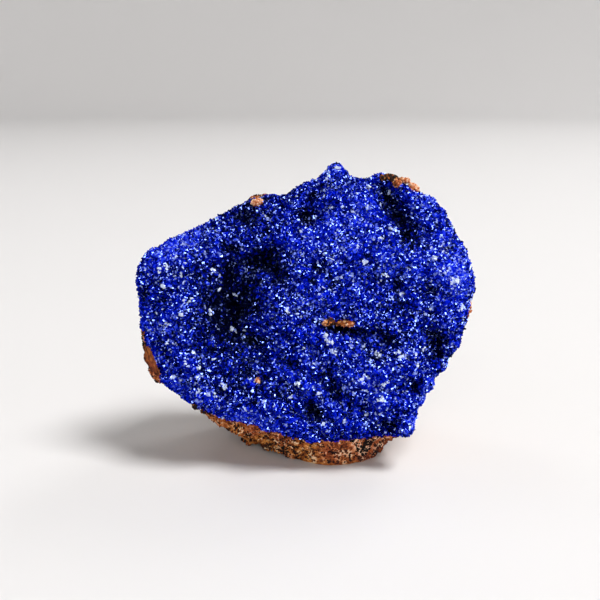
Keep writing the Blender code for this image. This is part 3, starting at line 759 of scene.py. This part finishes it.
def faceted(points):
    """Rays from the core and the rock's reach along them: the least of the dome's and the facets'
    distances, smoothed by adding them as reciprocals to a high power."""
    ray = points - ROCK_CORE
    reach = np.linalg.norm(ray, axis=-1, keepdims=True)
    ray = ray / reach
    each = np.concatenate([reach, room_to(FACETS, ray)], -1)
    return ray, (each**-FACET_SHARPNESS).sum(-1, keepdims=True) ** (-1 / FACET_SHARPNESS)


def pits(points):
    """How far the scattered cavities sink the rock: a flat-bottomed bell for each one."""
    rng = np.random.default_rng(9)
    angle = rng.uniform(0, 2 * math.pi, size=PITS)
    share = np.sqrt(rng.uniform(size=PITS))
    ray, reach = faceted(dome_points(angle, share, dome(share)))
    radius = rng.uniform(*PIT_RADIUS, size=PITS)
    sunk = np.zeros(points.shape[:-1])
    for middle, size in zip(ROCK_CORE + ray * reach, radius):
        sunk += PIT_DEPTH * size * np.exp(-((np.linalg.norm(points - middle, axis=-1) / size) ** 4))
    return sunk


def stepped(height, step):
    """A height turned to ledges a step apart: the height minus a sine of it."""
    return height - step * np.sin(2 * math.pi * height / step) / (2 * math.pi)


def roughness(points):
    """How far the broken surface stands above its facets: scallops and lumps, less the pits."""
    scallops = 0.4 - stepped(np.abs(lumpiness(points, 5, SCALLOP_WAVES)), SCALLOP_STEPS)
    lumps = lumpiness(points, 6, LUMP_WAVES)
    return SCALLOPS * scallops + LUMPS * lumps - pits(points)


def shares(angle, part):
    """For each angle, the dome's shares at which these parts of the way over the back are covered:
    the length is added up along a profile and then read backwards."""
    share = 1 - np.linspace(0, 1, 200) ** 3
    ray, reach = faceted(dome_points(angle[:, None], share, dome(share)))
    covered = np.cumsum(np.linalg.norm(np.diff(ray * reach, axis=1), axis=-1), axis=1)
    covered = np.concatenate([np.zeros((len(angle), 1)), covered], 1) / covered[:, -1:]
    return np.array([np.interp(part, row, share) for row in covered]).T


# %% [markdown]
# ## The relief under the grains
#
# A folded random pattern gives round bumps with sharp creases between them, and another one opens
# small pores.

# %% Bumps and pores of the rock
GRAIN, GRAIN_WAVES = 0.15, (1.4, 2.4)
PEBBLE, PEBBLE_WAVES = 0.35, (2.4, 4.6)
PORE, PORE_WAVES = 0.5, (1.6, 3.2)


def grains(points):
    """Height of the bumps, and a tone that is 0 in the pores and creases and 1 on the bumps: painted
    shade. Powers below 1 round the folded patterns, and pores open where theirs is above 1.1."""
    fine = np.abs(lumpiness(points, 51, GRAIN_WAVES)) ** 0.7
    coarse = np.abs(lumpiness(points, 52, PEBBLE_WAVES)) ** 0.8
    pore = np.clip(lumpiness(points, 53, PORE_WAVES) - 1.1, 0, 0.8) / 0.8
    height = GRAIN * (fine - 0.6) + PEBBLE * (coarse - 0.6) - PORE * pore
    return height, np.clip(0.25 + 0.6 * fine + 0.3 * coarse - 1.6 * pore, 0, 1)


# %% The rock
SMOOTH_LIP = (-22.6, -7.6, 2.6, 1.7, -60)  # an oval without grains: a smooth skin of goethite
LIP_REACH = (-0.5, 10.5)  # the depths between which it lies
HIDDEN_DEPTH = 8.5  # how far behind the face the hidden front lies, clear of every hollow
HIDDEN_COVER = 1.6  # the least rock between it and a facet
GRAIN_ROOM = 0.25  # the surface lies this much lower, and the grains fill the rest


def rock(hidden_rows, rows, columns):
    """Points (rows, columns, 3), texture places, tones and depths behind the rim. The hidden rows
    run from a pole behind the crust to the rim, and the others to a pole on the back. A hidden
    point too near a facet is drawn in towards the core."""
    angle = np.arange(columns) * 2 * math.pi / columns
    share = 1 - (1 - np.linspace(0, 1, hidden_rows, endpoint=False)[:, None]) ** 2
    rim = outline(angle) - DRAWN_IN
    rim_depth = bed(*polar(rim, angle)) + THICKNESS / 2 + GAP
    hidden_depth = rim_depth + (HIDDEN_DEPTH - rim_depth) * (1 - share**10)
    away = to_world(*polar(share * rim, angle), hidden_depth) - ROCK_CORE
    reach = np.linalg.norm(away, axis=-1, keepdims=True)
    covered = [(direction, distance - HIDDEN_COVER) for direction, distance in FACETS]
    room = room_to(covered, away / reach).min(-1, keepdims=True)
    hidden = ROCK_CORE + away / reach * np.minimum(reach, room)
    part = np.linspace(0, 1, rows)
    share = shares(angle, part)
    depth = dome(share)
    ray, reach = faceted(dome_points(angle, share, depth))
    fade = np.clip(depth / LIP_DEPTH, 0, 1)[..., None]
    base = ROCK_CORE + ray * reach
    above_foot = np.clip(base[..., 2:] / FOOT_MARGIN, 0, 1)
    height, tone = grains(base)
    reach = reach + ((roughness(base) + height)[..., None] * fade - GRAIN_ROOM) * above_foot
    outside = ROCK_CORE + ray * np.minimum(reach, room_to([FOOT], ray))
    spin = np.stack(polar(1, angle), -1)
    # In the texture, the outside is one large disc and the hidden part is a small one in a corner.
    inner = 0.05 + 0.045 * np.linspace(0, 1, hidden_rows)[:, None, None] * spin
    outer = 0.5 + 0.49 * (1 - part)[:, None, None] * spin
    tones = np.concatenate([np.full((hidden_rows, columns), 0.5), tone])
    behind = np.concatenate([np.full((hidden_rows, columns), -1.0), depth * ROCK_DEPTH])
    return np.concatenate([hidden, outside]), np.concatenate([inner, outer]), tones, behind


def lip_distance(points):
    """How far out from the smooth lip's middle these points lie: below 1 is on it."""
    u, v, w = to_face(points)
    past_middle = np.abs(2 * w - sum(LIP_REACH)) / np.diff(LIP_REACH)
    return np.maximum(lump_distance(u, v, [SMOOTH_LIP]), past_middle)


triangles, points, uv, tone, behind = closed_grid(*rock(12, 100, 320))
lip = lip_distance(points)
tone = np.where(lip < 1, 0.5 - 0.35 * lip**6, tone)  # the lip is even, and darker only at its rim
rock_piece = mesh_object("limonite_rock", points, triangles, limonite, uv=uv, tone=tone)
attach(rock_piece, "root")
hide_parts("limonite_matrix")
print("rock:", len(triangles), "triangles, volume", round(volume(points, triangles)), "cubic mm")

# %% [markdown]
# ## Grains that can be counted
#
# Broken limonite is a mass of grains about half a millimetre across, with dark pores between
# them; their dark is painted shade on the rock below. The grains are real solids, set into the
# rock as the crystals are into the skin. Each is an octahedron with its corners moved at random,
# and smooth shading rounds it. Rock also clings to the back of the crust's rim, so grains sit there too.

# %% One grain
AXES = np.concatenate([np.eye(3), -np.eye(3)])
BALL = np.array(((0, 1, 2), (1, 3, 2), (3, 4, 2), (4, 0, 2), (1, 0, 5), (3, 1, 5), (4, 3, 5), (0, 4, 5)))


def grain_piece(name, place, normal, radius, tone, rng):
    """One object from many grains: six corners along each one's own axes, at the radius times a
    random share."""
    count = len(place)
    local = AXES * radius[:, None, None] * rng.uniform(0.75, 1.35, (count, 6, 1))
    corners = (place[:, None] + local @ crystal_frames(normal, 0.5, rng)).reshape(-1, 3)
    corners[:, 2] = np.maximum(corners[:, 2], 0)
    triangles = (BALL + 6 * np.arange(count)[:, None, None]).reshape(-1, 3)
    piece = mesh_object(name, corners, triangles, limonite, True, point_uv(corners), np.repeat(tone, 6))
    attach(piece, "root")
    print(name, count, "grains", len(triangles), "triangles")


# %% Grains all over the rock, and the black ones
# Manganese oxide sits in small black knots: (u, v, radius), in millimetres. The one at
# (-21.1, -9.2), at the smooth lip's lower end, is painted shadow.
BLACK_KNOTS_AND_SHADOW = (
    (8.4, -20.8, 1.2), (7.2, -19.8, 0.7), (14.4, -19.5, 0.6), (-3.1, -21.5, 0.7), (-15.7, -14.0, 0.8),
    (-14.6, -15.2, 0.8), (-21.1, -9.2, 0.9), (-23.6, -4.6, 1.3), (-8.6, -18.7, 0.5), (12.4, 18.4, 1.1),
)
FRONT_STRIP = 8.0  # the grains are finer up to this far behind the crust's edge
GRAIN_SIZES = (1.0, 0.3, 0.5, 1.8)  # as for the crystals, but as shares of the middle size
GRAIN_TONE = (0.51, 0.165, 0.22)  # middle, spread and least
# Painted shade: the grains get darker towards the table.
PAINTED_SHADE_HEIGHT = 1.5  # the rock is darker by about this height above the table


def cover_with_grains(name, points, triangles, spacing, size, seed):
    """Grains spread over these triangles, each with its own size and tone. The tone is a normal
    number plus two patterns, less e to minus the height above the table, which is painted shade."""
    rng = np.random.default_rng(seed)
    place, normal = spread(points, triangles, spacing, rng)
    gritty = lip_distance(place) > 1
    place, normal = place[gritty], normal[gritty]
    u, v, _ = to_face(place)
    count = len(place)
    radius = size * sizes(count, rng, *GRAIN_SIZES)
    tone = GRAIN_TONE[0] + GRAIN_TONE[1] * rng.normal(size=count) + 0.1 * lumpiness(place, 54, (2.5, 7.0))
    # Painted shade near the table.
    low = np.exp(-np.maximum(place[:, 2], 0) / PAINTED_SHADE_HEIGHT)
    tone += 0.15 * lumpiness(place, 56, (0.9, 2.2)) - 0.25 * low
    tone = np.maximum(tone, GRAIN_TONE[2])
    # Grains in the knots turn black; at the lip's lower end that black is painted shadow.
    for at_u, at_v, reach in BLACK_KNOTS_AND_SHADOW:
        tone[(np.hypot(u - at_u, v - at_v) < reach) & (rng.uniform(size=count) < 0.8)] = 0.02
    grain_piece(name, place, normal, radius, tone, rng)


back = behind[triangles].max(1)
outer = (behind[triangles].min(1) >= 0) & (points[triangles][..., 2].min(1) > 0.2)
front, rest = triangles[outer & (back < FRONT_STRIP)], triangles[outer & (back >= FRONT_STRIP)]
cover_with_grains("limonite_grains_front", points, front, spacing=0.34, size=0.2, seed=61)
cover_with_grains("limonite_grains_back", points, rest, spacing=0.6, size=0.34, seed=63)
cover_with_grains("limonite_grains_rim", crust_points, crust_back, spacing=0.34, size=0.24, seed=65)

# %% [markdown]
# ## Bare lumps
#
# A small ledge of bare rock shows through the crust right of the middle, and a few knobs stand
# over its edge. Each is a roughened egg set into the bed, gritty like the rock.

# %% The lumps of bare rock
EGG_GRID, EGG_SUNK, EGG_SHADE = (14, 22), 0.2, 0.8  # rows and columns, mm, share of the tone
LUMP_GRAIN_SPACING, LUMP_GRAIN_SIZES = 0.27, (0.12, 0.24)


def lump(at_u, at_v, half_length, half_width, turn, out):
    """An egg's points: sines and cosines of two angles times its half sizes, turned, its middle
    just under the bed, and roughened by a random pattern."""
    rows, columns = EGG_GRID
    down = np.linspace(0, math.pi, rows)[:, None]
    around = (np.arange(columns) * 2 * math.pi / columns)[None, :]
    along, across = half_length * np.sin(down) * np.cos(around), half_width * np.sin(down) * np.sin(around)
    c, s = math.cos(math.radians(turn)), math.sin(math.radians(turn))
    u, v = at_u + along * c - across * s, at_v + along * s + across * c
    depth = bed(np.array(at_u), np.array(at_v)) + EGG_SUNK
    middle = to_world(at_u, at_v, depth)
    egg = to_world(u, v, depth - out * np.cos(down) + 0 * u)
    rough = 1 + 0.2 * lumpiness(egg, 55, (0.9, 2.0))
    return middle + (egg - middle) * rough[..., None]


def lump_piece(name, places):
    """One object from these lumps. Returns its points, triangles and tones."""
    points, triangles, tones = [], [], []
    for *place, tone in places:
        faces, made = closed_grid(lump(*place))
        triangles.append(faces + sum(map(len, points)))
        points.append(made)
        tones.append(np.full(len(made), tone))
    points, triangles, tones = map(np.concatenate, (points, triangles, tones))
    piece = mesh_object(name, points, triangles, limonite, True, point_uv(points), tones * EGG_SHADE)
    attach(piece, "root")
    print(name, len(triangles), "triangles")
    return points, triangles, tones


LUMP_PIECES = (("limonite_ledge", BARE_LUMPS[:LEDGE_LUMPS], 62),
               ("limonite_knobs", BARE_LUMPS[LEDGE_LUMPS:], 64))
for name, places, seed in LUMP_PIECES:
    points, triangles, tones = lump_piece(name, places)
    rng = np.random.default_rng(seed)
    place, normal = spread(points, triangles, LUMP_GRAIN_SPACING, rng)
    nearest = np.argmin(np.linalg.norm(place[:, None] - points, axis=-1), axis=1)
    grain_piece(name + "_grains", place, normal, rng.uniform(*LUMP_GRAIN_SIZES, len(place)),
                tones[nearest] + 0.2 * rng.normal(size=len(place)), rng)

# %% [markdown]
# ## The floor and the light
#
# A pale table top curves up all round into a pale wall, as a photographer's paper sweep does, so
# there is no edge behind the specimen. It is a profile turned about the upright axis.
# One large soft light stands high on the right, so the shadow falls to the left. Weaker ones fill
# it from behind and in front, and four small ones in front make the crystals glitter.

# %% The floor
FLOOR_RADIUS, SWEEP_RADIUS, WALL_HEIGHT = 1.1, 0.9, 1.8


def sweep(columns):
    """Points (rows, columns, 3): along the floor, up a quarter circle and up the wall, turned."""
    bend = np.linspace(0, math.pi / 2, 16)
    curve = FLOOR_RADIUS + SWEEP_RADIUS * np.sin(bend)
    radius = np.concatenate([(0, FLOOR_RADIUS / 2), curve, curve[-1:]])[:, None]
    height = np.concatenate([(0, 0), SWEEP_RADIUS * (1 - np.cos(bend)), (WALL_HEIGHT,)])[:, None]
    angle = np.arange(columns) * 2 * math.pi / columns
    return np.stack([*polar(radius, angle), height + 0 * angle], -1)


profile = sweep(72)
paper, *_ = new_material("pale_paper", {"Base Color": linear("#dddbda"), "Roughness": 0.7})
floor = mesh_object("floor", profile.reshape(-1, 3) / MM, grid_triangles(*profile.shape[:2]), paper)
floor.visible_glossy = False

# %% The lights
SPECIMEN = np.array((0, 0, 0.022))  # its middle, in metres
GLINT = 29.5  # radiance of the lights for glints only


def softbox(name, place, size, radiance, glints_only=False):
    """A square light turned to the specimen. Its power is radiance times its area times pi. One
    for glints only is seen in the crystals' faces and lights nothing else."""
    data = bpy.data.lights.new(name, "AREA")
    data.size = size
    data.energy = radiance * size**2 * math.pi
    made = bpy.data.objects.new(name, data)
    made.location = place
    toward = np.array(place) - SPECIMEN
    flat = math.hypot(toward[0], toward[1])
    made.rotation_euler = (math.atan2(flat, toward[2]), 0, math.atan2(toward[1], toward[0]) + math.pi / 2)
    made.visible_camera = False
    made.visible_diffuse = not glints_only
    bpy.context.scene.collection.objects.link(made)
    return made


softbox("key", (0.78, -0.39, 1.56), 0.6, 29.0)
softbox("window", (0.8, 0.8, 1.1), 0.6, 4.0)
softbox("window_left", (-0.8, 0.6, 1.4), 0.5, 2.5)
softbox("room", (-0.2, -1.5, 1.0), 0.6, 4.0)
softbox("glint_left", (-1.08, -0.78, 1.14), 0.48, GLINT, True)
softbox("glint_right", (1.44, -0.66, 0.6), 0.48, GLINT, True)
softbox("glint_front", (0.45, -1.5, 0.8), 0.4, GLINT, True)
softbox("glint_low", (-0.45, -1.65, 0.36), 0.33, GLINT, True)

world = bpy.data.worlds.new("room")
world.use_nodes = True
background = world.node_tree.nodes["Background"].inputs
background["Color"].default_value, background["Strength"].default_value = linear("#f2f2f2"), 0.05
world.cycles_visibility.glossy = False
bpy.context.scene.world = world
bpy.context.scene.view_settings.view_transform = "Standard"
